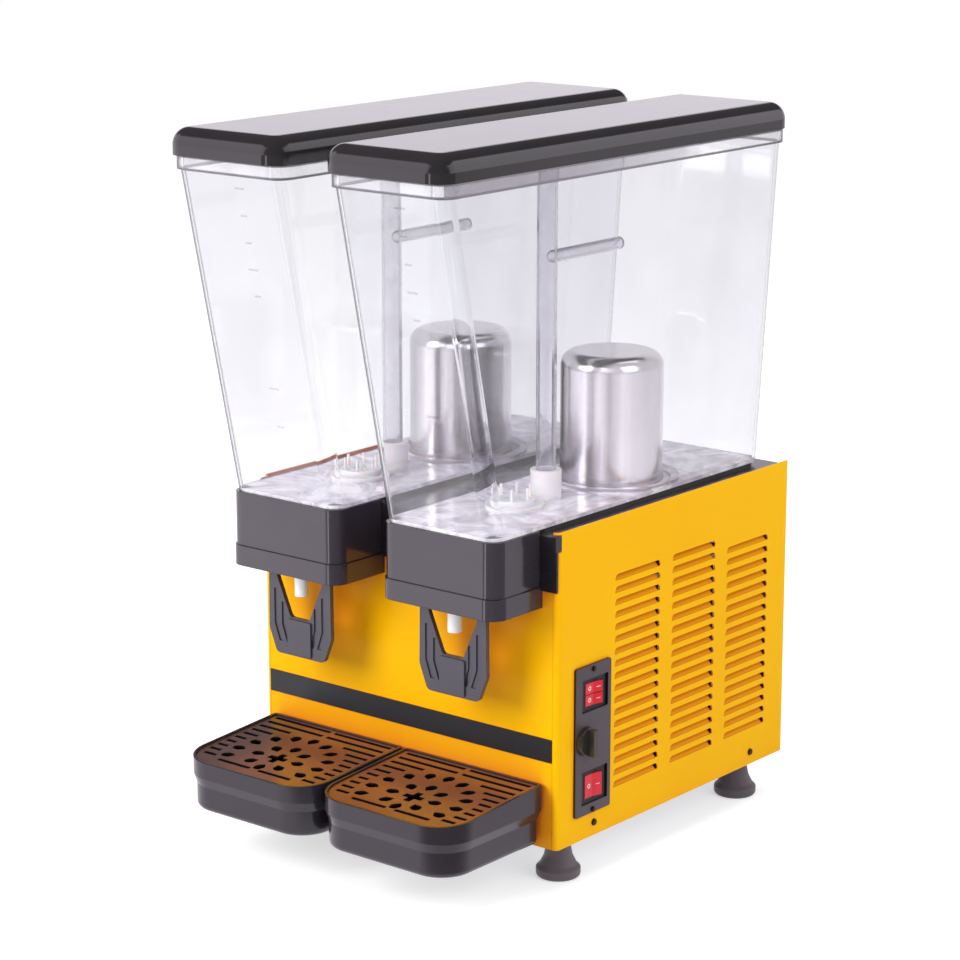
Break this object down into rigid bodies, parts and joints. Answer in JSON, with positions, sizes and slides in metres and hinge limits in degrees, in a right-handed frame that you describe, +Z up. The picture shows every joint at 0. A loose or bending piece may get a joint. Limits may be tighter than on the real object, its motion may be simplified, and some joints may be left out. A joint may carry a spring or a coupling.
{
  "type": "twin-tank drink dispenser",
  "caption": "Counter-top chilled drink dispenser: clear tanks over steel coolers on a louvred yellow cabinet, with push taps, drip trays, circulation pumps and a side control plate.",
  "frame": {"origin": "middle of the bottom of the whole object's box, where its feet stand", "axes": "+X to the control side, +Y to the rear, +Z up"},
  "size_m": [0.3768, 0.5272, 0.69],
  "materials": {
    "yellow_paint": "smooth semi-gloss paint",
    "band_black": "plain matt strip",
    "black_plastic": "moulded gloss plastic",
    "lid_plastic": "polished black plastic",
    "clear_plastic": "clear moulded polycarbonate",
    "milky_plastic": "translucent off-white plastic",
    "stainless": "bright drawn stainless steel",
    "foot_rubber": "dull black rubber",
    "silicone": "soft white tube",
    "seal_rubber": "soft grey seal",
    "red_plastic": "red switch rocker",
    "switch_black": "black moulding",
    "knob_black": "black knob",
    "fixings": "plated steel",
    "galvanised": "galvanised sheet",
    "compressor_black": "black enamel",
    "fin_aluminium": "plain aluminium fins",
    "copper": "drawn copper"
  },
  "bodies": {
    "cabinet": {"base_tray": "galvanised", "front_panel": "yellow_paint", "front_band": "band_black", "rear_panel": "galvanised", "cord_gland": "switch_black", "top_deck": "black_plastic", "feet": "foot_rubber", "foot_screws": "fixings", "case_screws": "fixings", "tap_housings": "black_plastic", "housing_rims": "black_plastic", "outlet_tubes": "silicone", "lever_pins": "fixings", "tray_brackets": "galvanised", "evaporator_domes": "stainless", "dome_seals": "seal_rubber", "evaporator_coils": "copper", "pump_motors": "fixings", "motor_brackets": "galvanised", "control_plate": "black_plastic", "twin_switch_body": "switch_black", "main_switch_body": "switch_black", "thermostat": "switch_black", "compressor": "compressor_black", "compressor_mounts": "foot_rubber", "condenser": "fin_aluminium", "fan_shroud": "galvanised", "fan_motor": "fixings", "filter_drier": "copper", "refrigerant_pipes": "copper", "left_side_panel": "yellow_paint", "right_side_panel": "yellow_paint", "left_lever_spring": "fixings", "right_lever_spring": "fixings"},
    "fan_wheel": {"fan": "switch_black"},
    "twin_rocker_left": {"left_pump_rocker": "red_plastic"},
    "twin_rocker_right": {"right_pump_rocker": "red_plastic"},
    "single_rocker": {"main_rocker": "red_plastic"},
    "knob": {"thermostat_knob": "knob_black"},
    "left_tank_unit": {"left_tank": "clear_plastic", "left_pump_base": "milky_plastic", "left_pump_cover": "milky_plastic", "left_riser": "clear_plastic"},
    "left_cover": {"left_lid": "lid_plastic"},
    "left_wheel": {"left_impeller": "milky_plastic"},
    "left_drive": {"left_magnet_rotor": "fixings"},
    "left_lever": {"left_tap_lever": "black_plastic"},
    "left_tray": {"left_drip_tray": "black_plastic"},
    "left_grille": {"left_drip_grille": "black_plastic"},
    "right_tank_unit": {"right_tank": "clear_plastic", "right_pump_base": "milky_plastic", "right_pump_cover": "milky_plastic", "right_riser": "clear_plastic"},
    "right_cover": {"right_lid": "lid_plastic"},
    "right_wheel": {"right_impeller": "milky_plastic"},
    "right_drive": {"right_magnet_rotor": "fixings"},
    "right_lever": {"right_tap_lever": "black_plastic"},
    "right_tray": {"right_drip_tray": "black_plastic"},
    "right_grille": {"right_drip_grille": "black_plastic"}
  },
  "joints": [
    {"name": "fan_spin", "type": "hinge", "parent": "cabinet", "child": "fan_wheel", "pos_m": [0.0996, 0.0809, 0.1515], "axis": [1, 0, 0], "continuous": true},
    {"name": "twin_rocker_left_tilt", "type": "hinge", "parent": "cabinet", "child": "twin_rocker_left", "pos_m": [0.1661, -0.0711, 0.18555], "axis": [0, 0, 1], "range_deg": [0, 16]},
    {"name": "twin_rocker_right_tilt", "type": "hinge", "parent": "cabinet", "child": "twin_rocker_right", "pos_m": [0.1661, -0.0711, 0.17445], "axis": [0, 0, 1], "range_deg": [0, 16]},
    {"name": "single_rocker_tilt", "type": "hinge", "parent": "cabinet", "child": "single_rocker", "pos_m": [0.1661, -0.0711, 0.0915], "axis": [0, 0, 1], "range_deg": [0, 16]},
    {"name": "thermostat_turn", "type": "hinge", "parent": "cabinet", "child": "knob", "pos_m": [0.1761, -0.0851, 0.1375], "axis": [1, 0, 0], "range_deg": [0, 270]},
    {"name": "left_tank_lift", "type": "slide", "parent": "cabinet", "child": "left_tank_unit", "axis": [0, 0, 1], "range_m": [0, 0.2]},
    {"name": "left_lid_lift", "type": "slide", "parent": "left_tank_unit", "child": "left_cover", "axis": [0, 0, 1], "range_m": [0, 0.12]},
    {"name": "left_rotor_spin", "type": "hinge", "parent": "cabinet", "child": "left_drive", "pos_m": [-0.1002, -0.0811, 0.325], "axis": [0, 0, 1], "continuous": true},
    {"name": "left_impeller_spin", "type": "hinge", "parent": "left_tank_unit", "child": "left_wheel", "pos_m": [-0.1002, -0.0811, 0.347], "axis": [0, 0, 1], "continuous": true},
    {"name": "left_tap_lever_push", "type": "hinge", "parent": "cabinet", "child": "left_lever", "pos_m": [-0.1002, -0.1521, 0.283], "axis": [1, 0, 0], "range_deg": [0, 18], "stiffness_Nm_per_rad": 1, "springref_deg": -11.46, "deforming": ["left_lever_spring"]},
    {"name": "left_tray_pull", "type": "slide", "parent": "cabinet", "child": "left_tray", "axis": [0, -1, 0], "range_m": [0, 0.13]},
    {"name": "left_grille_lift", "type": "slide", "parent": "left_tray", "child": "left_grille", "axis": [0, 0, 1], "range_m": [0, 0.06]},
    {"name": "right_tank_lift", "type": "slide", "parent": "cabinet", "child": "right_tank_unit", "axis": [0, 0, 1], "range_m": [0, 0.2]},
    {"name": "right_lid_lift", "type": "slide", "parent": "right_tank_unit", "child": "right_cover", "axis": [0, 0, 1], "range_m": [0, 0.12]},
    {"name": "right_rotor_spin", "type": "hinge", "parent": "cabinet", "child": "right_drive", "pos_m": [0.0874, -0.0811, 0.325], "axis": [0, 0, 1], "continuous": true},
    {"name": "right_impeller_spin", "type": "hinge", "parent": "right_tank_unit", "child": "right_wheel", "pos_m": [0.0874, -0.0811, 0.347], "axis": [0, 0, 1], "continuous": true},
    {"name": "right_tap_lever_push", "type": "hinge", "parent": "cabinet", "child": "right_lever", "pos_m": [0.0874, -0.1521, 0.283], "axis": [1, 0, 0], "range_deg": [0, 18], "stiffness_Nm_per_rad": 1, "springref_deg": -11.46, "deforming": ["right_lever_spring"]},
    {"name": "right_tray_pull", "type": "slide", "parent": "cabinet", "child": "right_tray", "axis": [0, -1, 0], "range_m": [0, 0.13]},
    {"name": "right_grille_lift", "type": "slide", "parent": "right_tray", "child": "right_grille", "axis": [0, 0, 1], "range_m": [0, 0.06]}
  ],
  "couplings": [
    {"joint": "left_impeller_spin", "follows": "left_rotor_spin", "ratio": 1},
    {"joint": "right_impeller_spin", "follows": "right_rotor_spin", "ratio": 1}
  ]
}
